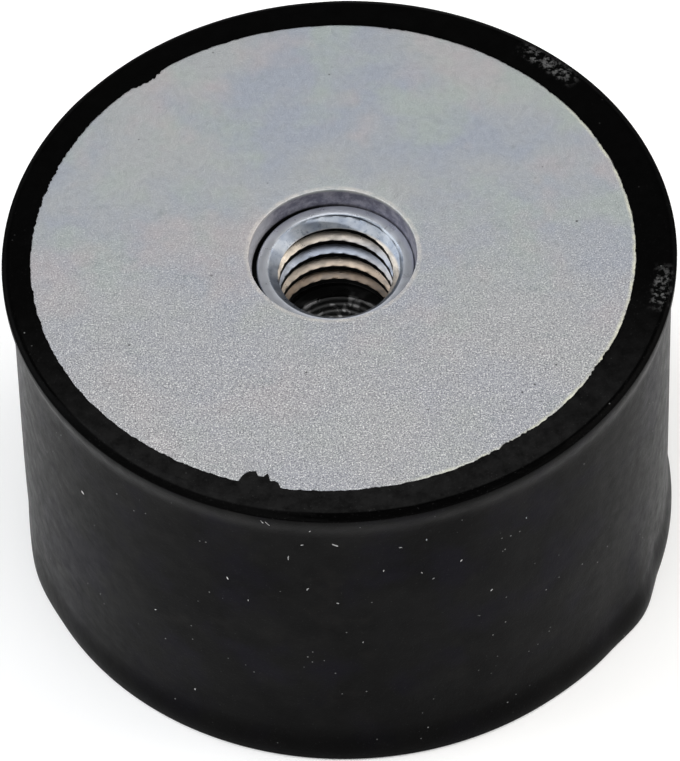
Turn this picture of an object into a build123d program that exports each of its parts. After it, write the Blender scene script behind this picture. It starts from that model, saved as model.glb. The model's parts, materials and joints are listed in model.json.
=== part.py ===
from build123d import *
import os

# Bobbin vibration mount: a rubber moulding bonded round two steel end plates, each with a threaded bush behind it.
# The frame's origin is on the threads' axis in the bottom face, +Z up. All sizes are in millimetres.

# Rubber moulding
body_diameter = 50.0
body_height = 30.0
rim_height = 0.9
rim_flare_height = 1.2
waist_depth = 0.5
rim_bevel = 0.35
lip_fillet_radius = 0.8
cove_fillet_radius = 1.2
moulding_shift = 0.3  # the moulding stands this far to +X of the threads' axis

# End plates
land_width = 2.5  # rubber left showing round each plate
plate_thickness = 2.5
plate_edge_bevel = 0.2
hole_bevel = 0.25  # the punch leaves the hole's mouth broken
top_plate_shift = -0.15  # the top plate settled this far off the threads' axis in the mould
bottom_plate_shift = 0.0

# Threaded bushes, M10 x 1.5
thread_diameter = 10.0
thread_pitch = 1.5
mouth_clearance = 0.05
mouth_chamfer_depth = 0.75
bush_recess = 1.8  # from the plate's outer face down to the bush's end
end_land_width = 0.85
hole_clearance = 0.18  # radial, between the bush's spigot and the plate's hole
seat_width = 3.1
flange_thickness = 1.5
barrel_wall = 2.5
barrel_chamfer = 1.0
bore_depth = 8.8  # from the bush's end to the flat floor of the bore
bore_floor_thickness = 1.4

# Radii and depths that follow from the sizes above
rim_radius = body_diameter / 2
waist_radius = rim_radius - waist_depth
plate_radius = rim_radius - land_width
bore_radius = (thread_diameter - thread_pitch) / 2
mouth_radius = thread_diameter / 2 + mouth_clearance
spigot_radius = mouth_radius + end_land_width
hole_radius = spigot_radius + hole_clearance
flange_radius = spigot_radius + seat_width
barrel_radius = thread_diameter / 2 + barrel_wall
flange_depth = plate_thickness + flange_thickness
chamfer_depth = bush_recess + mouth_chamfer_depth
floor_depth = bush_recess + bore_depth
bush_depth = floor_depth + bore_floor_thickness

# Each end is drawn on its own face plane, whose normal points out of the part
top_face = Plane.XY.offset(body_height)
bottom_face = Plane(origin=(0, 0, 0), x_dir=(1, 0, 0), z_dir=(0, 0, -1))
ends = (("top", top_face, top_plate_shift), ("bottom", bottom_face, bottom_plate_shift))


def section_plane(face):
    """The plane through a face's axis, with X along the radius and Y along the outward normal."""
    return Plane(origin=face.origin, x_dir=face.x_dir, z_dir=face.x_dir.cross(face.z_dir))


def face_axis(face):
    return Axis(face.origin, face.z_dir)


# The outside of a bush from its inner end up to its seat on the plate, as (radius, height) below the face
bush_outside = [
    (0, -bush_depth),
    (barrel_radius - barrel_chamfer, -bush_depth),
    (barrel_radius, -bush_depth + barrel_chamfer),
    (barrel_radius, -flange_depth),
    (flange_radius, -flange_depth),
    (flange_radius, -plate_thickness),
]

# From the seat, over the spigot in the plate's hole and down the tapped bore to its floor
bush_inside = [
    (spigot_radius, -plate_thickness),
    (spigot_radius, -bush_recess),
    (mouth_radius, -bush_recess),
    (bore_radius, -chamfer_depth),
    (bore_radius, -floor_depth),
    (0, -floor_depth),
]

os.makedirs("parts", exist_ok=True)

# End plates: punched discs with a hole for the bush's spigot
for end, face, plate_shift in ends:
    with BuildPart() as plate:
        with BuildSketch(face):
            with Locations((plate_shift, 0)):
                Circle(plate_radius)
                Circle(hole_radius, mode=Mode.SUBTRACT)
        extrude(amount=-plate_thickness)
        outer_circles = plate.edges().filter_by(GeomType.CIRCLE).group_by(face_axis(face))[-1]
        hole_edge, rim_edge = outer_circles.sort_by(SortBy.RADIUS)
        chamfer(hole_edge, hole_bevel)
        chamfer(rim_edge, plate_edge_bevel)
    plate.part.label = f"{end}_plate"
    export_step(plate.part, f"parts/{end}_plate.step")

# Threaded bushes: a flange that seats on the plate's inner face, and a blind bore at tapping size
for end, face, plate_shift in ends:
    with BuildPart() as bush:
        with BuildSketch(section_plane(face)):
            with BuildLine():
                Polyline(*bush_outside, *bush_inside, close=True)
            make_face()
        revolve(axis=face_axis(face))
    bush.part.label = f"{end}_bush"
    export_step(bush.part, f"parts/{end}_bush.step")

# Rubber moulding: a lip at each end, a cove and a straight waist between them
moulding_plane = Plane.XZ.move(Location((moulding_shift, 0, 0)))
moulding_axis = Axis(moulding_plane.origin, (0, 0, 1))
cove_height = rim_height + rim_flare_height

with BuildPart() as rubber_body:
    with BuildSketch(moulding_plane):
        with BuildLine():
            Polyline(
                (0, 0),
                (rim_radius, 0),
                (rim_radius, rim_height),
                (waist_radius, cove_height),
                (waist_radius, body_height - cove_height),
                (rim_radius, body_height - rim_height),
                (rim_radius, body_height),
                (0, body_height),
                close=True,
            )
        make_face()
    revolve(axis=moulding_axis)
    rings = rubber_body.edges().filter_by(GeomType.CIRCLE).group_by(Axis.Z)
    rim_edges = rings[0] + rings[-1]
    lip_edges = rings[1] + rings[-2]
    cove_edges = rings[2] + rings[-3]
    chamfer(rim_edges, rim_bevel)
    fillet(lip_edges, lip_fillet_radius)
    fillet(cove_edges, cove_fillet_radius)
    for end, face, plate_shift in ends:
        with BuildSketch(face):
            with Locations((plate_shift, 0)):
                Circle(plate_radius)
        extrude(amount=-plate_thickness, mode=Mode.SUBTRACT)
        with BuildSketch(section_plane(face)):
            with BuildLine():
                Polyline(*bush_outside, (0, -plate_thickness), close=True)
            make_face()
        revolve(axis=face_axis(face), mode=Mode.SUBTRACT)
rubber_body.part.label = "rubber_body"
export_step(rubber_body.part, "parts/rubber_body.step")
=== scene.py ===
import json
import math

import bpy
from mathutils import Matrix, Vector, noise


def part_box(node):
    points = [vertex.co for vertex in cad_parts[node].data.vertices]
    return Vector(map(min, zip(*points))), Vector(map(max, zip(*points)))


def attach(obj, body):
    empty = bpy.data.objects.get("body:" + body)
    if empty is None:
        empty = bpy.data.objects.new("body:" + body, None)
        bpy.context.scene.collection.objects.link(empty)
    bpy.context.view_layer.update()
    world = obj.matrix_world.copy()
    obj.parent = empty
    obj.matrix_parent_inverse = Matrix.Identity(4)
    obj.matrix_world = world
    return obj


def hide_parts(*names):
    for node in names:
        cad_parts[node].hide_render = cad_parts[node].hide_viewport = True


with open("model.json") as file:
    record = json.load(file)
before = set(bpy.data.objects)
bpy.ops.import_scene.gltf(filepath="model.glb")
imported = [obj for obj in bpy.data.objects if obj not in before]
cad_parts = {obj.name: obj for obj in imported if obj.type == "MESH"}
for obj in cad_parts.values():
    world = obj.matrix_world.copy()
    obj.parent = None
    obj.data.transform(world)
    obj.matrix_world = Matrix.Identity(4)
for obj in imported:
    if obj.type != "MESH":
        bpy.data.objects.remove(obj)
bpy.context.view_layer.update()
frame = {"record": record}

# A bobbin vibration mount: a rubber moulding with a steel plate and a threaded bush bonded into each end.
# Lengths are in millimetres in the CAD model's frame, and finish_mesh scales them to metres.
# Bearings are in degrees round an upright axis, from +X towards +Y. The camera's side, the front, is 270.

# ---------------------------------------------------------------- sizes taken from the frame

MM = 0.001
TURN = 2 * math.pi


def box_mm(node):
    """Lowest and highest corner of a CAD node, in millimetres."""
    low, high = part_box(node)
    return low / MM, high / MM


def mount(name):
    return next(m for m in frame["record"]["mounts"] if m["name"] == name)


rubber_low, rubber_high = box_mm("rubber_body")
plate_low, plate_high = box_mm("top_plate")
bush_low, bush_high = box_mm("top_bush")
thread = mount("top_thread")

HEIGHT = rubber_high.z
RIM_RADIUS = (rubber_high.y - rubber_low.y) / 2
RUBBER_X = (rubber_high.x + rubber_low.x) / 2
PLATE_RADIUS = (plate_high.y - plate_low.y) / 2
PLATE_X = {"top": (plate_high.x + plate_low.x) / 2, "bottom": 0.0}
PLATE_THICKNESS = plate_high.z - plate_low.z
FLANGE_RADIUS = (bush_high.y - bush_low.y) / 2
BORE_RADIUS = thread["dims"]["r_mm"]
BORE_LENGTH = thread["dims"]["length_mm"]

# Depths below the plate's face
BUSH_RECESS = HEIGHT - bush_high.z
BUSH_DEPTH = HEIGHT - bush_low.z
FLOOR_DEPTH = HEIGHT - thread["pos_m"][2] / MM + BORE_LENGTH / 2
CHAMFER_DEPTH = FLOOR_DEPTH - BORE_LENGTH

# Sizes that the CAD model has inside its nodes' boxes
FLANGE_THICKNESS = 1.5
BARREL_RADIUS = 7.5
BARREL_CHAMFER = 1.0
MOUTH_RADIUS = 5.05  # of the bore's chamfer
SPIGOT_RADIUS = 5.9
HOLE_RADIUS = 6.08
RIM_HEIGHT = 0.9
RIM_FLARE = 1.2
WAIST_DEPTH = 0.5

HAIR = 0.002  # surfaces stay this far inside the CAD model's
FACE_SINK = 0.06  # the plate's face lies this far under the rubber's land


# ---------------------------------------------------------------- mesh tools

SHARP_ANGLE = 35  # degrees between two faces, above which their edge is shaded sharp


def smooth(x, low=0.0, high=1.0):
    """0 below low, 1 above high and a smooth step between."""
    t = min(max((x - low) / (high - low), 0.0), 1.0)
    return t * t * (3 - 2 * t)


def wobble(angle, radius, z, scale, seed):
    """Smooth noise from -1 to 1 that closes on itself round the axis. Scale is in waves per millimetre."""
    at = Vector((radius * math.cos(angle), radius * math.sin(angle), z)) * scale
    return noise.noise(at + Vector((seed * 7.3, seed * 3.1, seed * 5.7)))


def degrees_off(angle, centre):
    """How far an angle in radians lies from a bearing, in degrees from -180 to 180."""
    return (math.degrees(angle) - centre + 180) % 360 - 180


def bump_at(angle, centre, width):
    """1 at a bearing, falling to 0 at width degrees either side."""
    return smooth(1 - abs(degrees_off(angle, centre)) / width)


def bumps(angle, places):
    """The sum of several bumps, each given by its bearing, half width in degrees and height."""
    return sum(height * bump_at(angle, centre, width) for centre, width, height in places)


def lump_at(angle, centre, width):
    """Like bump_at, but round-topped with steep ends."""
    return math.sqrt(max(1 - (degrees_off(angle, centre) / width) ** 2, 0))


def rounding(size):
    """Four steps of a quarter-round, each as how far inside the edge it is and how far below the face."""
    turns = [math.radians(degrees) for degrees in (0, 30, 60, 90)]
    return [(size * (1 - math.sin(t)), size * (1 - math.cos(t))) for t in turns]


def finish_mesh(name, points, faces):
    mesh = bpy.data.meshes.new(name)
    mesh.from_pydata([p * MM for p in points], [], faces)
    mesh.shade_smooth()
    mesh.set_sharp_from_angle(angle=math.radians(SHARP_ANGLE))
    mesh.validate()
    piece = bpy.data.objects.new(name, mesh)
    bpy.context.scene.collection.objects.link(piece)
    return piece


def turned(name, rings, segments, start=None, end=None, loop=False):
    """A closed mesh from rings, each a function of the angle that gives a point.

    The rings run outwards over faces that look up, then down the outside and back inwards underneath.
    start and end are points on the axis that close the first and last ring.
    loop joins the last ring to the first.
    """
    angles = [TURN * k / segments for k in range(segments)]
    points = [ring(a) for ring in rings for a in angles]
    faces = []
    pairs = len(rings) if loop else len(rings) - 1
    for r in range(pairs):
        here, there = r * segments, (r + 1) % len(rings) * segments
        for k in range(segments):
            n = (k + 1) % segments
            faces.append((here + k, there + k, there + n, here + n))
    for pole, ring in ((start, 0), (end, len(rings) - 1)):
        if pole is None:
            continue
        points.append(pole)
        base = ring * segments
        for k in range(segments):
            a, b = base + k, base + (k + 1) % segments
            faces.append((a, b, len(points) - 1) if ring == 0 else (b, a, len(points) - 1))
    return finish_mesh(name, points, faces)


def ring_at(radius, z, x=0.0):
    """A plain circle round the axis, moved x to the side."""
    return lambda a: Vector((x + radius * math.cos(a), radius * math.sin(a), z))


def to_bottom(piece):
    """Turns a piece made for the top end over to the bottom end, about the X axis."""
    flip = Matrix.Translation((0, 0, HEIGHT * MM)) @ Matrix.Rotation(math.pi, 4, "X")
    piece.data.transform(flip)
    return piece


# ---------------------------------------------------------------- rubber moulding

RUBBER_SEGMENTS = 1320
TRIM_CENTRE, TRIM_SPREAD = 238, 34  # bearing and half width of the knife's cut along the top rim
TRIM_WIDTH, TRIM_DEPTH = 0.7, 0.1
CHIP_CENTRE = 251.5  # bearing of the torn lump of flash on the top plate
LAND_EDGE = 0.42  # the land ends this far in from the rim, where there is no trimming
STEP_WIDTH, STEP_DEPTH = 0.07, 0.015  # from the land down to the rim's bevel
RIM_ROUNDING = 0.09

# Tongues of flash on the top plate: bearing, half width and reach
TONGUES = ((303, 9, 0.35), (328, 5, 0.3), (158, 26, 0.16))

# Where the outside lies inside its circle, or outside it if negative: bearing, half width and depth
TOP_DENTS = ((112, 26, 0.38), (115, 19, 0.38), (124, 20, 0.1), (40, 26, -0.04))
BOTTOM_DENTS = ((195, 12, -0.2), (330, 10, -0.42), (322, 18, -0.12))


def chip(a):
    """Outline of the torn lump, as a share of its reach: a broad tooth, a lower one beside it and a third."""
    broad = lump_at(a, CHIP_CENTRE + 0.7, 1.8)
    lower = 0.72 * lump_at(a, CHIP_CENTRE + 2.9, 1.5)
    third = 0.5 * lump_at(a, CHIP_CENTRE + 4.9, 1.7)
    return max(broad, lower) + third


def flash_edge(a, seed, top):
    """Radius of the rubber's ragged inner edge, from the plate's centre."""
    ragged = 0.5 + 0.5 * wobble(a, PLATE_RADIUS, 0, 1.3, seed)
    fine = 0.5 + 0.5 * wobble(a, PLATE_RADIUS, 0, 4.5, seed + 1)
    radius = PLATE_RADIUS - 0.02 - 0.22 * ragged * fine - 0.04 * ragged
    if top:
        radius -= (0.82 + 0.3 * fine) * chip(a) + 0.2 * bump_at(a, CHIP_CENTRE + 2.5, 5)
        radius -= 0.5 * bump_at(a, 127, 6) * (0.4 + 0.7 * fine)
        radius -= fine * bumps(a, TONGUES)
    return radius


def land_rings(seed, top):
    """The pocket for the bush and plate, the flat land round it and the rounded rim, drawn as a top end."""
    plate_x = PLATE_X["top" if top else "bottom"]
    floor = HEIGHT - PLATE_THICKNESS
    face = HEIGHT - FACE_SINK

    def trim(a):
        return bump_at(a, TRIM_CENTRE, TRIM_SPREAD) if top else 0.0

    def bevel(a):
        """How far the rim's bevel comes down: it is deepest in front."""
        return 0.09 + (0.25 * bump_at(a, 262, 100) if top else 0.0)

    def step_radius(a):
        uneven = 0.05 * wobble(a, RIM_RADIUS, 0, 0.7, seed + 2)
        return RIM_RADIUS - LAND_EDGE - TRIM_WIDTH * trim(a) - uneven

    def edge_point(a, out, z):
        r = flash_edge(a, seed, top) + out
        return Vector((plate_x + r * math.cos(a), r * math.sin(a), z))

    def rim_point(a, r, z):
        return Vector((RUBBER_X + r * math.cos(a), r * math.sin(a), z))

    def land(share):
        def ring(a):
            inner = edge_point(a, 0.06, 0)
            outer = rim_point(a, step_radius(a), 0)
            flat = inner.lerp(outer, share)
            rough = wobble(a, 23.0 + 2 * share, share * 3, 1.1, seed + 3)
            flat.z = HEIGHT - 0.012 - 0.012 * rough
            return flat

        return ring

    def after_step(share):
        def ring(a):
            start = step_radius(a) + STEP_WIDTH
            r = start + (RIM_RADIUS - RIM_ROUNDING - start) * share
            cut = trim(a) * (TRIM_DEPTH - 0.01 * (1 - share))
            return rim_point(a, r, HEIGHT - STEP_DEPTH - cut - bevel(a) * share)

        return ring

    def rim(degrees):
        t = math.radians(degrees)
        inward, down = RIM_ROUNDING * (1 - math.sin(t)), RIM_ROUNDING * (1 - math.cos(t))

        def ring(a):
            drop = STEP_DEPTH + bevel(a) + TRIM_DEPTH * trim(a) + down
            r = RIM_RADIUS - HAIR - inward - rim_dent(a, 1.0 if top else 0.0)
            return inside_box(rim_point(a, r, HEIGHT - drop))

        return ring

    rings = [
        ring_at(BARREL_RADIUS - BARREL_CHAMFER, HEIGHT - BUSH_DEPTH),
        ring_at(BARREL_RADIUS, HEIGHT - BUSH_DEPTH + BARREL_CHAMFER),
        ring_at(BARREL_RADIUS, floor - FLANGE_THICKNESS),
        ring_at(FLANGE_RADIUS, floor - FLANGE_THICKNESS),
        ring_at(FLANGE_RADIUS, floor),
        ring_at(PLATE_RADIUS, floor, plate_x),
        ring_at(PLATE_RADIUS, face - 0.4, plate_x),
        ring_at(PLATE_RADIUS + 0.005, face + 0.004, plate_x),
        lambda a: edge_point(a, 0.025, face + 0.004),
        lambda a: edge_point(a, 0.0, face + 0.022),
        lambda a: edge_point(a, 0.02, HEIGHT - 0.018),
    ]
    rings += [land(share) for share in ((0, 0.1, 0.3, 0.6, 0.85, 1) if top else (0, 0.4, 1))]
    rings += [after_step(share) for share in (0, 0.5, 1)]
    rings += [rim(degrees) for degrees in (20, 45, 70, 90)]
    return rings


def rim_dent(a, share):
    """How far the outside lies inside the true circle, share 1 at the top rim and 0 at the bottom."""
    top, bottom = bumps(a, TOP_DENTS), bumps(a, BOTTOM_DENTS)
    return bottom + (top - bottom) * smooth(share, 0.0, 0.35)


def waist(a, share):
    """Depth of the waist, which is uneven and runs out towards the bottom on the left."""
    even = 0.72 + 0.1 * wobble(a, RIM_RADIUS, 0, 0.05, 21)
    left = 0.2 + 0.8 * smooth(share, 0.15, 0.9)
    return WAIST_DEPTH * (even + (left - even) * bump_at(a, 180, 60))


def inside_box(p):
    """Holds a point of the outside within the CAD model's box."""
    p.x = min(max(p.x, rubber_low.x + HAIR), rubber_high.x - HAIR)
    p.y = min(max(p.y, rubber_low.y + HAIR), rubber_high.y - HAIR)
    return p


def side_ring(z):
    """The outside at height z: a lip at each end, a flare, which is longer at the bottom, and the waist."""
    from_end = min(z, HEIGHT - z)
    longer = 0.6 if z > HEIGHT / 2 else 1.4
    flare = smooth(from_end, RIM_HEIGHT - 0.3, RIM_HEIGHT + RIM_FLARE + longer)
    share = z / HEIGHT

    def ring(a):
        r = RIM_RADIUS - HAIR - waist(a, share) * flare - rim_dent(a, share)
        r -= 0.012 * flare * (1 + wobble(a, RIM_RADIUS, z, 0.25, 8))
        return inside_box(Vector((RUBBER_X + r * math.cos(a), r * math.sin(a), z)))

    return ring


def rubber_mesh():
    def turned_over(ring):
        def other(a):
            p = ring(a)
            return Vector((p.x, p.y, HEIGHT - p.z))

        return other

    ends = [0.6, 0.8, 1.0, 1.3, 1.6, 1.9, 2.3, 2.8, 3.5]
    middle = [ends[-1] + (HEIGHT - 2 * ends[-1]) * k / 9 for k in range(1, 9)]
    heights = [HEIGHT - e for e in ends] + middle[::-1] + ends[::-1]
    rings = land_rings(11, True)
    rings += [side_ring(z) for z in heights]
    rings += [turned_over(r) for r in land_rings(37, False)[::-1]]
    top_pole, bottom_pole = Vector((0, 0, HEIGHT - BUSH_DEPTH)), Vector((0, 0, BUSH_DEPTH))
    return turned("rubber_moulding", rings, RUBBER_SEGMENTS, top_pole, bottom_pole)


# ---------------------------------------------------------------- steel end plates

PLATE_SEGMENTS = 480
HOLE_SHIFT = Vector((-0.01, -0.05, 0))  # the hole lies this far off the plate's centre
MOUTH_SHIFT = Vector((0, -0.24, 0))  # and the punch has drawn its mouth this much further
MOUTH_HOLE_RADIUS = 6.26
EDGE_ROUNDING = 0.16
MOUTH_ROUNDING = 0.08


def plate_mesh(name, x, seed):
    """A punched disc: soft outer edge, drawn-in hole mouth, slightly uneven hole wall."""
    face = HEIGHT - FACE_SINK
    floor = HEIGHT - PLATE_THICKNESS

    def hole(z, out):
        share = smooth((z - floor - 0.5) / (face - floor - 0.5))
        centre = Vector((x, 0, z)) + HOLE_SHIFT + MOUTH_SHIFT * share

        def ring(a):
            uneven = 0.012 * wobble(a, HOLE_RADIUS, z, 1.2, seed)
            uneven += 0.01 * wobble(a, HOLE_RADIUS, z * 0.3, 4, seed + 1)
            r = HOLE_RADIUS - 0.02 + (MOUTH_HOLE_RADIUS - HOLE_RADIUS) * share + out + uneven
            return centre + Vector((r * math.cos(a), r * math.sin(a), 0))

        return ring

    walls = [floor + 0.3 * k for k in range(5)] + [face - 0.3 * k for k in (3, 2, 1)]
    rings = [hole(z, 0) for z in walls]
    rings += [hole(face - below, out) for below, out in rounding(MOUTH_ROUNDING)]
    radii = [7.4, 8.4, 10, 12, 14, 16, 18, 20, 21.5, PLATE_RADIUS - EDGE_ROUNDING - 0.2]
    rings += [ring_at(r, face, x) for r in radii]
    edge = PLATE_RADIUS - HAIR
    rings += [ring_at(edge - inward, face - down, x) for inward, down in rounding(EDGE_ROUNDING)]
    rings.append(ring_at(edge, floor + 0.01, x))
    rings.append(ring_at(PLATE_RADIUS - 0.1, floor, x))
    return turned(name, rings, PLATE_SEGMENTS, loop=True)


# ---------------------------------------------------------------- threaded bushes

BUSH_SEGMENTS = 240
END_ROUNDING = 0.15
RIDGE_PITCH = 0.62  # between the ridges that the tool left in the bore's floor

# M10 x 1.5: its pitch, the radii of a full thread and half the angle between its flanks
PITCH = 1.5
MAJOR_RADIUS = 5.0
MINOR_RADIUS = 4.188
HALF_ANGLE = math.radians(30)

# The thread as cut, whose crests are wider because the bore is drilled larger
THREAD_HEIGHT = MAJOR_RADIUS - BORE_RADIUS
FLANK = THREAD_HEIGHT * math.tan(HALF_ANGLE)
CREST_FLAT = PITCH / 4 + 2 * (BORE_RADIUS - MINOR_RADIUS) * math.tan(HALF_ANGLE)
ROOT_FLAT = PITCH - CREST_FLAT - 2 * FLANK
THREAD_START = 0.166  # turns, where the first crest lies
THREAD_END = 9.0  # depth below the plate's face where the tap ran out


def thread_height(a, z):
    """Depth of the thread's groove outside the bore at one bearing and height."""
    along = ((z / PITCH - a / TURN + THREAD_START) % 1) * PITCH
    if along < CREST_FLAT:
        depth = 0.0
    elif along < CREST_FLAT + FLANK:
        depth = (along - CREST_FLAT) / FLANK * THREAD_HEIGHT
    elif along < CREST_FLAT + FLANK + ROOT_FLAT:
        depth = THREAD_HEIGHT
    else:
        depth = (PITCH - along) / FLANK * THREAD_HEIGHT
    return depth * (1 - smooth(HEIGHT - z, THREAD_END - 0.5, THREAD_END + 0.3))


def bush_mesh(name):
    end_face = HEIGHT - BUSH_RECESS
    floor = HEIGHT - FLOOR_DEPTH
    seat = HEIGHT - PLATE_THICKNESS
    under = seat - FLANGE_THICKNESS + HAIR
    bottom = HEIGHT - BUSH_DEPTH

    def bore(z):
        share = (z - HEIGHT + CHAMFER_DEPTH) / (CHAMFER_DEPTH - BUSH_RECESS)
        chamfer = BORE_RADIUS + (MOUTH_RADIUS - BORE_RADIUS) * share

        def ring(a):
            r = max(chamfer, BORE_RADIUS + thread_height(a, z))
            return Vector((r * math.cos(a), r * math.sin(a), z))

        return ring

    def floor_ring(r):
        ridge = 0.035 * math.cos(TURN * r / RIDGE_PITCH) * smooth(r, 0.2, 1.2)
        return ring_at(r, floor + ridge * (1 - smooth(r, 3.9, 4.2)) - 0.02)

    rings = [floor_ring(0.1 * k) for k in range(2, 42)]
    rings.append(ring_at(BORE_RADIUS, floor))
    step = 0.05
    length = end_face - floor - step
    count = round(length / step)
    rings += [bore(floor + length * k / count) for k in range(1, count + 1)]
    rings.append(ring_at(MOUTH_RADIUS + 0.03, end_face))
    rings += [ring_at(SPIGOT_RADIUS - inward, end_face - down) for inward, down in rounding(END_ROUNDING)]
    rings += [
        ring_at(SPIGOT_RADIUS, seat + HAIR),
        ring_at(FLANGE_RADIUS - HAIR, seat - HAIR),
        ring_at(FLANGE_RADIUS - HAIR, under),
        ring_at(BARREL_RADIUS - HAIR, under),
        ring_at(BARREL_RADIUS - HAIR, bottom + BARREL_CHAMFER),
        ring_at(BARREL_RADIUS - BARREL_CHAMFER, bottom + HAIR),
    ]
    floor_pole, bottom_pole = Vector((0, 0, floor - 0.02)), Vector((0, 0, bottom + HAIR))
    return turned(name, rings, BUSH_SEGMENTS, floor_pole, bottom_pole)


# ---------------------------------------------------------------- materials


class Shader:
    """Builds one material. Most calls add a node and return the socket that carries its result."""

    def __init__(self, name):
        self.material = bpy.data.materials.new(name)
        self.material.use_nodes = True
        self.tree = self.material.node_tree
        self.tree.nodes.clear()
        self.output = self.tree.nodes.new("ShaderNodeOutputMaterial")
        place = self.tree.nodes.new("ShaderNodeTexCoord").outputs["Object"]
        self.point = self.vector("MULTIPLY", place, (1 / MM, 1 / MM, 1 / MM))
        self.x, self.y, self.z = self.node("SeparateXYZ", Vector=self.point).outputs[:3]

    def node(self, kind, settings=None, **inputs):
        """Adds a node and returns the node itself."""
        made = self.tree.nodes.new("ShaderNode" + kind)
        for key, value in (settings or {}).items():
            setattr(made, key, value)
        for key, value in inputs.items():
            self.feed(made.inputs[key.replace("_", " ")], value)
        return made

    def feed(self, socket, value):
        if isinstance(value, bpy.types.NodeSocket):
            self.tree.links.new(value, socket)
        else:
            socket.default_value = value

    def math(self, operation, *values):
        made = self.node("Math", {"operation": operation})
        for socket, value in zip(made.inputs, values):
            self.feed(socket, value)
        return made.outputs[0]

    def vector(self, operation, *values):
        made = self.node("VectorMath", {"operation": operation})
        for socket, value in zip(made.inputs, values):
            self.feed(socket, value)
        return made.outputs["Value" if operation == "LENGTH" else "Vector"]

    def times(self, a, b):
        return self.math("MULTIPLY", a, b)

    def minus(self, a, b):
        return self.math("SUBTRACT", a, b)

    def shifted(self, seed, stretch=(1, 1, 1)):
        moved = self.vector("ADD", self.point, (seed * 13.7, seed * 7.9, seed * 3.3))
        return moved if stretch == (1, 1, 1) else self.vector("MULTIPLY", moved, stretch)

    def noise(self, waves, seed, detail=2.0, roughness=0.5, stretch=(1, 1, 1), distortion=0.0):
        """Noise from about 0.2 to 0.8, waves per millimetre."""
        made = self.node("TexNoise", Vector=self.shifted(seed, stretch), Scale=waves, Detail=detail)
        self.feed(made.inputs["Roughness"], roughness)
        self.feed(made.inputs["Distortion"], distortion)
        return made.outputs[0]

    def specks(self, waves, seed, outer, inner):
        """1 within inner of scattered points and 0 beyond outer, both in shares of the points' spacing."""
        made = self.node("TexVoronoi", Vector=self.shifted(seed), Scale=waves)
        return self.fit(made.outputs["Distance"], outer, inner)

    def fit(self, value, low, high, to_low=0.0, to_high=1.0, smooth_step=False):
        """Maps low..high to to_low..to_high and holds it there outside."""
        made = self.node("MapRange", {"interpolation_type": "SMOOTHSTEP" if smooth_step else "LINEAR"})
        sockets = ("Value", "From Min", "From Max", "To Min", "To Max")
        for key, number in zip(sockets, (value, low, high, to_low, to_high)):
            self.feed(made.inputs[key], number)
        return made.outputs[0]

    def band(self, value, low, high, soft):
        """1 between low and high with soft ends."""
        up = self.fit(value, low - soft, low + soft, smooth_step=True)
        down = self.fit(value, high - soft, high + soft, 1.0, 0.0, smooth_step=True)
        return self.times(up, down)

    def mix(self, share, a, b):
        """Mixes two colours."""
        made = self.node("Mix", {"data_type": "RGBA", "clamp_factor": True})
        for socket, value in ((0, share), (6, a), (7, b)):
            self.feed(made.inputs[socket], value)
        return made.outputs[2]

    def radius(self, x=0.0):
        """Distance from the upright axis through x."""
        flat = self.vector("MULTIPLY", self.vector("SUBTRACT", self.point, (x, 0, 0)), (1, 1, 0))
        return self.vector("LENGTH", flat)

    def bearing(self, x=0.0):
        """Angle round the upright axis through x, in degrees from -180 to 180."""
        return self.times(self.math("ARCTAN2", self.y, self.minus(self.x, x)), 180 / math.pi)

    def end_depth(self):
        """Depth below the nearer end of the part."""
        return self.math("MINIMUM", self.z, self.minus(HEIGHT, self.z))

    def bump(self, height, distance, strength, under=None):
        """Height is in millimetres when distance is 1. under is the bump that this one lies on."""
        made = self.node("Bump", Strength=strength, Distance=distance * MM, Height=height)
        if under is not None:
            self.feed(made.inputs["Normal"], under)
        return made.outputs[0]

    def principled(self, **inputs):
        made = self.node("BsdfPrincipled", **inputs)
        self.tree.links.new(made.outputs[0], self.output.inputs["Surface"])
        return self.material


def colour(r, g, b):
    """A colour given as it looks on screen, 0 to 255."""

    def linear(v):
        v /= 255
        return v / 12.92 if v <= 0.04045 else ((v + 0.055) / 1.055) ** 2.4

    return (linear(r), linear(g), linear(b), 1.0)


def grey(v):
    return colour(v, v, v)


# Two scuffs on the land: from and to bearing, and from and to radius
SCUFFS = (((41, 52), (23.4, 24.6)), ((-16, -8), (23.5, 24.7)))


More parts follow.
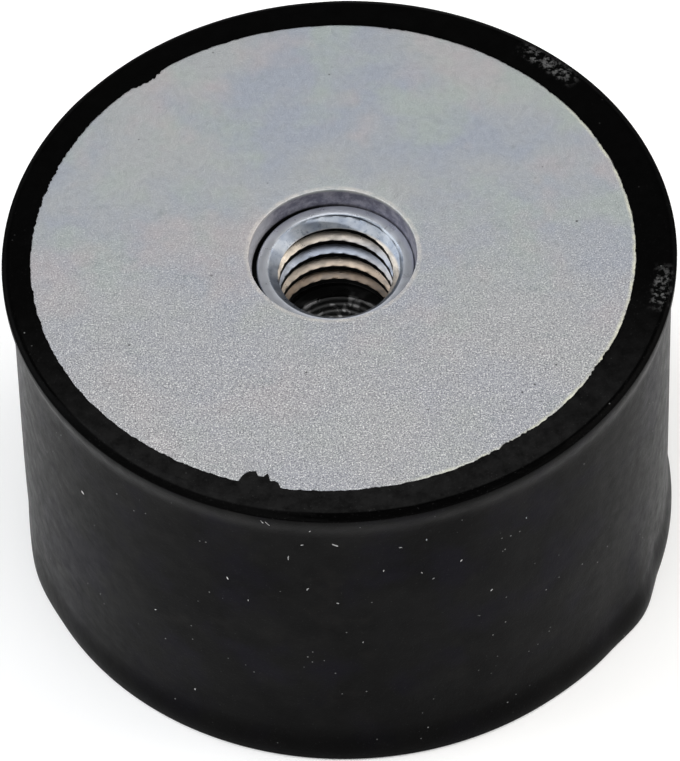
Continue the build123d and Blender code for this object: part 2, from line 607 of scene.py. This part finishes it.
def rubber_material():
    s = Shader("rubber_black")
    r = s.radius(RUBBER_X)
    bearing = s.bearing(RUBBER_X)
    top = s.fit(s.z, HEIGHT - 0.52, HEIGHT - 0.44)
    front = s.fit(s.y, -2.0, -21.0, smooth_step=True)

    # the moulded side: nearly black, with violet and grey clouds, and painted shade that makes it darker
    # towards the bottom, near the floor
    side = s.mix(s.fit(s.noise(0.14, 1, 4, 0.6), 0.38, 0.66), grey(3), grey(15))
    side = s.mix(s.fit(s.noise(0.17, 3, 3, 0.6), 0.5, 0.66, 0, 0.5), side, colour(13, 11, 23))
    side = s.mix(s.fit(s.noise(0.3, 8, 3, 0.6), 0.56, 0.7, 0, 0.45), side, colour(24, 23, 22))
    side = s.mix(s.fit(s.z, 9.0, 1.0, 0, 0.75), side, grey(1))

    # the land: clean black, dusty in front, painted shade that makes it black again near its rim, and scuffed
    # in two places
    dusty = s.times(front, s.fit(s.noise(0.9, 7, 4, 0.75), 0.2, 0.62))
    land = s.mix(dusty, grey(1), grey(24))
    land = s.mix(s.fit(r, RIM_RADIUS - 0.62, RIM_RADIUS - 0.5), land, grey(0))
    places = [s.times(s.band(bearing, *at, 2.0), s.band(r, *across, 0.3)) for at, across in SCUFFS]
    scuffed = s.times(s.math("MAXIMUM", *places), s.fit(s.noise(2.2, 9, 4, 0.7), 0.5, 0.62, 0, 0.5))
    land = s.mix(scuffed, land, grey(110))
    base = s.mix(top, side, land)

    # dust: a fine bloom towards the front, and larger pale specks
    bloom = s.times(s.fit(s.noise(7.0, 4, 3, 0.75), 0.63, 0.74, 0, 0.5), s.fit(s.y, 12, -18))
    base = s.mix(bloom, base, grey(66))
    speck = s.times(s.specks(1.1, 10, 0.075, 0.045), s.fit(s.noise(0.25, 16, 2), 0.54, 0.62))
    base = s.mix(s.times(speck, s.fit(s.y, 5, -15, 0.1, 0.8)), base, grey(150))

    normal = s.bump(s.noise(5.0, 5, 3, 0.65), 0.03, 0.4)
    normal = s.bump(s.noise(0.6, 6, 2, 0.5), 0.08, 0.3, normal)
    rough = s.fit(s.noise(0.9, 2, 3, 0.6), 0.3, 0.7, 0.3, 0.42)
    return s.principled(
        Base_Color=base,
        Roughness=rough,
        Specular_IOR_Level=0.022,
        Sheen_Weight=0.022,
        Sheen_Roughness=0.4,
        Normal=normal,
    )


def plate_material():
    s = Shader("plate_zinc")
    front = s.fit(s.y, 9.0, -14.0, smooth_step=True)
    depth = s.end_depth()

    # the mottled plating
    base = s.mix(s.fit(s.noise(0.1, 11, 4, 0.6), 0.4, 0.6), colour(156, 162, 173), colour(166, 169, 171))
    base = s.mix(s.fit(s.noise(0.16, 12, 3, 0.6), 0.5, 0.66, 0, 0.7), base, colour(164, 173, 168))
    base = s.mix(s.fit(s.noise(0.13, 17, 3, 0.6), 0.52, 0.66, 0, 0.7), base, colour(176, 169, 171))
    base = s.mix(s.times(front, 0.6), base, colour(163, 162, 166))
    smudge = s.fit(s.noise(0.35, 18, 4, 0.65, stretch=(1, 1.6, 1)), 0.6, 0.72, 0, 0.4)
    base = s.mix(smudge, base, colour(140, 148, 150))

    # crystals of the zinc, with painted glints and painted shade on them that are strong towards the front
    # and faint at the back
    crystal = s.noise(8.5, 13, 2, 0.8)
    painted_glints = s.fit(crystal, 0.54, 0.66)
    painted_facet_shade = s.fit(crystal, 0.46, 0.34)
    base = s.mix(s.times(painted_glints, s.fit(front, 0, 1, 0.1, 0.85)), base, colour(246, 246, 244))
    base = s.mix(s.times(painted_facet_shade, s.fit(front, 0, 1, 0.12, 0.85)), base, colour(92, 92, 96))

    # pits and scratches
    pit = s.times(s.specks(0.62, 14, 0.075, 0.04), s.fit(s.noise(0.12, 19, 1), 0.5, 0.58))
    base = s.mix(s.times(pit, 0.8), base, grey(52))
    lines = s.noise(0.5, 24, 2, 0.5, stretch=(0.25, 7, 1), distortion=0.6)
    base = s.mix(s.times(s.fit(lines, 0.7, 0.74, 0, 0.4), front), base, grey(225))

    # the worn edge of the hole's mouth, whose shift is mirrored on the lower plate
    end_sign = s.math("SIGN", s.minus(s.z, HEIGHT / 2))
    across = s.minus(s.x, PLATE_X["top"])
    along = s.minus(s.times(s.y, end_sign), HOLE_SHIFT.y + MOUTH_SHIFT.y)
    from_mouth = s.vector("LENGTH", s.node("CombineXYZ", X=across, Y=along).outputs[0])
    worn = s.times(s.band(from_mouth, 6.2, 6.55, 0.12), s.fit(s.noise(1.6, 25, 3), 0.35, 0.62, 0.1, 0.5))
    base = s.mix(worn, base, colour(212, 206, 198))

    # a painted highlight along the rounded outer edge, pale and yellowish, in front and at the right
    rim = s.fit(s.radius(PLATE_X["top"]), PLATE_RADIUS - 0.42, PLATE_RADIUS - 0.2)
    rim = s.times(rim, s.band(s.bearing(), -75, 35, 12.0))
    base = s.mix(s.times(rim, s.fit(s.noise(0.9, 26, 2), 0.35, 0.6, 0.2, 0.9)), base, colour(214, 214, 196))

    # the hole's wall: darker, with a painted highlight that makes it pale at the left, and painted shade that
    # makes it black where it goes down beside the bush at the left
    wall = s.times(s.fit(depth, 0.18, 0.4), s.fit(s.radius(), 7.5, 7.2))
    tone = s.mix(s.fit(s.noise(1.3, 27, 3, 0.7), 0.4, 0.62), colour(104, 103, 118), colour(146, 144, 154))
    left = s.band(s.math("ABSOLUTE", s.bearing()), 140, 200, 12.0)
    tone = s.mix(s.times(left, 0.7), tone, colour(190, 190, 194))
    painted_gap_shade = s.times(s.fit(depth, BUSH_RECESS - 0.06, BUSH_RECESS + 0.06), s.fit(s.x, 2.0, -2.0))
    base = s.mix(wall, base, s.mix(painted_gap_shade, tone, grey(4)))

    normal = s.bump(crystal, 0.03, 0.7)
    normal = s.bump(s.noise(0.9, 28, 3, 0.5), 0.03, 0.35, normal)
    rough = s.fit(s.noise(2.0, 15, 3, 0.6), 0.3, 0.7, 0.42, 0.56)
    return s.principled(Base_Color=base, Metallic=0.55, Roughness=rough, Normal=normal)


# Bands of the thread's plating, from its mouth to its end: share of the way and colour
FLANK_TONES = (
    (0.0, (176, 168, 158)),
    (0.14, (176, 168, 158)),
    (0.26, (140, 147, 160)),
    (0.42, (146, 153, 166)),
    (0.54, (180, 171, 160)),
    (0.72, (166, 150, 134)),
    (1.0, (124, 108, 94)),
)


def bush_material():
    s = Shader("bush_zinc")
    facing = s.node("NewGeometry").outputs["Normal"]
    upright = s.math("ABSOLUTE", s.node("SeparateXYZ", Vector=facing).outputs[2])
    depth = s.end_depth()

    # chamfer and end land
    mouth = s.mix(s.fit(s.noise(0.7, 21, 4, 0.6), 0.35, 0.62), colour(112, 120, 133), colour(146, 151, 158))
    mouth = s.mix(s.fit(s.noise(2.6, 29, 3, 0.7), 0.56, 0.68, 0, 0.6), mouth, colour(86, 96, 110))
    mouth = s.mix(s.fit(depth, BUSH_RECESS + 0.008, BUSH_RECESS + 0.014), colour(200, 204, 212), mouth)

    # flanks: the plating has yellowed in bands that follow the helix, and painted shade makes the grooves'
    # walls dark
    along = s.minus(depth, s.times(s.bearing(), PITCH / 360))
    bands = s.node("ValToRGB", Fac=s.fit(along, 2.6, 8.6))
    while len(bands.color_ramp.elements) < len(FLANK_TONES):
        bands.color_ramp.elements.new(0.5)
    for element, (at, rgb) in zip(bands.color_ramp.elements, FLANK_TONES):
        element.position = at
        element.color = colour(*rgb)
    stains = s.fit(s.noise(0.9, 30, 3, 0.6, stretch=(1, 1, 4)), 0.46, 0.66, 0, 0.5)
    flank = s.mix(stains, bands.outputs[0], grey(96))
    flanks_with_painted_groove_shade = s.mix(s.fit(upright, 0.3, 0.72), grey(17), flank)

    # below the thread: painted shade on the dark walls and the duller floor, and a few painted glints on the
    # floor
    painted_deep_shade = s.mix(s.fit(upright, 0.7, 0.9), grey(30), grey(64))
    bore = s.mix(s.fit(depth, THREAD_END - 1.0, THREAD_END + 0.2), flanks_with_painted_groove_shade, painted_deep_shade)
    on_floor = s.fit(depth, FLOOR_DEPTH - 0.3, FLOOR_DEPTH - 0.1)
    painted_floor_glints = s.times(s.fit(s.noise(0.5, 31, 3, 0.6, distortion=1.2), 0.52, 0.62), on_floor)
    bore = s.mix(painted_floor_glints, bore, grey(150))
    base = s.mix(s.fit(depth, CHAMFER_DEPTH - 0.05, CHAMFER_DEPTH + 0.05), mouth, bore)

    # painted shade: black in the gap round the spigot
    outside = s.fit(s.radius(), SPIGOT_RADIUS - 0.04, SPIGOT_RADIUS - 0.01)
    base = s.mix(s.times(outside, s.fit(depth, BUSH_RECESS + 0.04, BUSH_RECESS + 0.12)), base, grey(3))

    normal = s.bump(s.noise(2.2, 22, 3, 0.6, stretch=(1, 1, 3)), 0.02, 0.4)
    rough = s.fit(s.noise(1.4, 23, 2), 0.3, 0.7, 0.26, 0.4)
    return s.principled(Base_Color=base, Metallic=0.85, Roughness=rough, Normal=normal)


def lint_material():
    s = Shader("lint")
    base = s.mix(s.fit(s.noise(3.0, 41), 0.4, 0.6), grey(150), grey(215))
    return s.principled(Base_Color=base, Roughness=0.9, Specular_IOR_Level=0.1)


# ---------------------------------------------------------------- pieces

# Lint on the rubber's side: bearing, height, length, width and tilt in degrees from upright
LINT = (
    # in front
    (267, 26.4, 0.5, 0.14, -60), (259, 24.6, 0.55, 0.07, 5), (262, 21.0, 0.3, 0.09, 30),
    (248, 20.7, 0.3, 0.1, -20), (261.5, 26.3, 0.22, 0.07, 70), (255, 29.0, 0.5, 0.06, -28),
    (255.8, 28.9, 0.75, 0.06, -32), (263, 28.2, 0.25, 0.08, 40), (282.5, 25.8, 0.22, 0.09, 0),
    (278, 25.5, 0.2, 0.07, 80), (288.5, 22.2, 0.24, 0.09, 35), (281.5, 22.0, 0.2, 0.08, -30),
    (283.5, 21.0, 0.22, 0.07, 60), (275, 23.0, 0.2, 0.08, 10), (267, 19.4, 0.2, 0.08, -75),
    (251.5, 18.6, 0.22, 0.09, 0), (294, 17.3, 0.22, 0.09, 45), (217, 21.3, 0.35, 0.12, -55),
    (240, 5.0, 0.22, 0.1, 0), (271, 14.5, 0.18, 0.07, 20), (301, 24.0, 0.2, 0.08, 0),
    (233, 13.0, 0.2, 0.08, 50),
    # at the back
    (62, 22.0, 0.4, 0.07, 40), (95, 17.0, 0.25, 0.09, -30), (128, 24.5, 0.3, 0.08, 65),
    (20, 19.0, 0.25, 0.09, 10), (163, 12.0, 0.3, 0.08, -45),
)
LINT_STEPS = 6  # along each thread
LINT_THICKNESS = 0.05


def lint_mesh():
    """Small flat threads that lie on the rubber's side."""
    upwards = Vector((0, 0, 1))
    points, faces = [], []
    for bearing, height, length, width, tilt in LINT:
        a, t = math.radians(bearing), math.radians(tilt)
        base = side_ring(height)(a)
        out = Vector((math.cos(a), math.sin(a), 0))
        across = Vector((-math.sin(a), math.cos(a), 0))
        along = math.cos(t) * upwards + math.sin(t) * across
        beside = math.cos(t) * across - math.sin(t) * upwards
        first = len(points)
        for k in range(LINT_STEPS + 1):
            u = k / LINT_STEPS - 0.5
            half = width / 2 * math.sqrt(max(1 - (2 * u) ** 2, 0.08))
            middle = base + along * (u * length) + beside * (0.25 * length * u * u)
            points += [middle + beside * half, middle + out * min(half, LINT_THICKNESS)]
            points += [middle - beside * half, middle - out * 0.04]
        for k in range(LINT_STEPS):
            for side in range(4):
                n = (side + 1) % 4
                low, high = first + 4 * k, first + 4 * k + 4
                faces.append((low + side, high + side, high + n, low + n))
        faces.append(tuple(first + side for side in range(4)))
        faces.append(tuple(first + 4 * LINT_STEPS + side for side in (3, 2, 1, 0)))
    return finish_mesh("lint", points, faces)


def place(piece, node, slot, material):
    piece.data.materials.append(material)
    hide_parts(node)
    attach(piece, "root")


lint = lint_mesh()
lint.data.materials.append(lint_material())
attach(lint, "root")

zinc_plate = plate_material()
zinc_bush = bush_material()
place(rubber_mesh(), "rubber_body", "rubber", rubber_material())
place(plate_mesh("top_plate_disc", PLATE_X["top"], 3), "top_plate", "plate_zinc", zinc_plate)
bottom_disc = plate_mesh("bottom_plate_disc", PLATE_X["bottom"], 7)
place(to_bottom(bottom_disc), "bottom_plate", "plate_zinc", zinc_plate)
place(bush_mesh("top_bush_sleeve"), "top_bush", "bush_zinc", zinc_bush)
place(to_bottom(bush_mesh("bottom_bush_sleeve")), "bottom_bush", "bush_zinc", zinc_bush)


# ---------------------------------------------------------------- camera

CAMERA_TILT = 51.36  # degrees, how steeply it looks down
CAMERA_ROLL = -2.67
CAMERA_DISTANCE = 452.8
FOCAL_LENGTH = 282.1
AIM_RIGHT, AIM_UP = -0.363, -0.28  # it aims this far off the moulding's middle, across the view


def add_camera():
    tilt, roll = math.radians(CAMERA_TILT), math.radians(CAMERA_ROLL)
    right = Vector((1, 0, 0))
    up = Vector((0, math.sin(tilt), math.cos(tilt)))
    back = Vector((0, -math.cos(tilt), math.sin(tilt)))
    aim = Vector((RUBBER_X, 0, HEIGHT / 2)) + AIM_RIGHT * right + AIM_UP * up
    across = math.cos(roll) * right + math.sin(roll) * up
    above = math.cos(roll) * up - math.sin(roll) * right
    data = bpy.data.cameras.new("camera")
    data.lens = FOCAL_LENGTH
    data.clip_start = 0.01
    camera = bpy.data.objects.new("camera", data)
    bpy.context.scene.collection.objects.link(camera)
    turn = Matrix((across, above, back)).transposed().to_4x4()
    camera.matrix_world = Matrix.Translation((aim + CAMERA_DISTANCE * back) * MM) @ turn
    bpy.context.scene.camera = camera


add_camera()


# ---------------------------------------------------------------- floor, world and lamps

FLOOR_HALF = 3.0  # metres
FLOOR_DROP = 0.01
FLOOR_TONE = 0.85
FLOOR_GLOW = 0.2  # added where the camera sees the floor, directly or in a reflection

# The world's brightness by height, from the horizon to overhead
WORLD_STOPS = ((0.0, 1.2), (0.3, 1.1), (0.6, 0.25), (1.0, 0.2))

COOL, WARM, WHITE = (0.94, 0.97, 1.0), (1.0, 0.96, 0.9), (1.0, 1.0, 1.0)


def seen_directly(tree):
    """1 for camera, glossy and transmission rays."""
    path = tree.nodes.new("ShaderNodeLightPath")
    total = path.outputs["Is Camera Ray"]
    for kind in ("Is Glossy Ray", "Is Transmission Ray"):
        larger = tree.nodes.new("ShaderNodeMath")
        larger.operation = "MAXIMUM"
        tree.links.new(total, larger.inputs[0])
        tree.links.new(path.outputs[kind], larger.inputs[1])
        total = larger.outputs[0]
    return total


def add_floor():
    mesh = bpy.data.meshes.new("floor")
    corners = [(-1, -1), (1, -1), (1, 1), (-1, 1)]
    points = [(x * FLOOR_HALF, y * FLOOR_HALF, -FLOOR_DROP * MM) for x, y in corners]
    mesh.from_pydata(points, [], [(0, 1, 2, 3)])
    floor = bpy.data.objects.new("floor", mesh)
    bpy.context.scene.collection.objects.link(floor)
    material = bpy.data.materials.new("floor_white")
    material.use_nodes = True
    tree = material.node_tree
    shader = tree.nodes["Principled BSDF"]
    shader.inputs["Base Color"].default_value = (FLOOR_TONE, FLOOR_TONE, FLOOR_TONE, 1)
    shader.inputs["Roughness"].default_value = 0.9
    shader.inputs["Specular IOR Level"].default_value = 0.0
    shader.inputs["Emission Color"].default_value = (1, 1, 1, 1)
    glow = tree.nodes.new("ShaderNodeMath")
    glow.operation = "MULTIPLY"
    tree.links.new(seen_directly(tree), glow.inputs[0])
    glow.inputs[1].default_value = FLOOR_GLOW
    tree.links.new(glow.outputs[0], shader.inputs["Emission Strength"])
    mesh.materials.append(material)


def add_world():
    """White where the camera sees it, and otherwise a soft studio, bright low down and dim overhead."""
    world = bpy.data.worlds.new("studio")
    bpy.context.scene.world = world
    world.use_nodes = True
    tree = world.node_tree
    tree.nodes.clear()
    output = tree.nodes.new("ShaderNodeOutputWorld")
    soft = tree.nodes.new("ShaderNodeBackground")
    white = tree.nodes.new("ShaderNodeBackground")
    white.inputs["Color"].default_value = (1, 1, 1, 1)
    direction = tree.nodes.new("ShaderNodeTexCoord")
    split = tree.nodes.new("ShaderNodeSeparateXYZ")
    ramp = tree.nodes.new("ShaderNodeValToRGB")
    tree.links.new(direction.outputs["Generated"], split.inputs[0])
    tree.links.new(split.outputs["Z"], ramp.inputs[0])
    for at, _ in WORLD_STOPS[1:-1]:
        ramp.color_ramp.elements.new(at)
    for element, (at, level) in zip(ramp.color_ramp.elements, WORLD_STOPS):
        element.position = at
        element.color = (level, level, level, 1)
    tree.links.new(ramp.outputs[0], soft.inputs["Color"])
    mix = tree.nodes.new("ShaderNodeMixShader")
    path = tree.nodes.new("ShaderNodeLightPath")
    tree.links.new(path.outputs["Is Camera Ray"], mix.inputs[0])
    tree.links.new(soft.outputs[0], mix.inputs[1])
    tree.links.new(white.outputs[0], mix.inputs[2])
    tree.links.new(mix.outputs[0], output.inputs["Surface"])


def add_lamp(name, bearing, elevation, distance, width, height, level, tint):
    """A softbox aimed at the part's middle. Distance and size are in metres; level 1 looks white."""
    data = bpy.data.lights.new(name, "AREA")
    data.shape = "RECTANGLE"
    data.size, data.size_y = width, height
    data.energy = level * math.pi * width * height
    data.color = tint
    lamp = bpy.data.objects.new(name, data)
    bpy.context.scene.collection.objects.link(lamp)
    b, e = math.radians(bearing), math.radians(elevation)
    away = Vector((math.cos(e) * math.cos(b), math.cos(e) * math.sin(b), math.sin(e)))
    centre = Vector((0, 0, HEIGHT / 2 * MM))
    lamp.location = centre + away * distance
    lamp.rotation_euler = away.to_track_quat("Z", "Y").to_euler()


add_floor()
add_world()
add_lamp("softbox_left", bearing=168, elevation=36, distance=0.8, width=0.7, height=0.5, level=2.7, tint=COOL)
add_lamp("softbox_right", bearing=12, elevation=36, distance=0.8, width=0.7, height=0.5, level=2.7, tint=WARM)
add_lamp("softbox_top", bearing=-90, elevation=78, distance=0.9, width=1.1, height=0.7, level=2.2, tint=WHITE)

bpy.context.scene.view_settings.view_transform = "Standard"
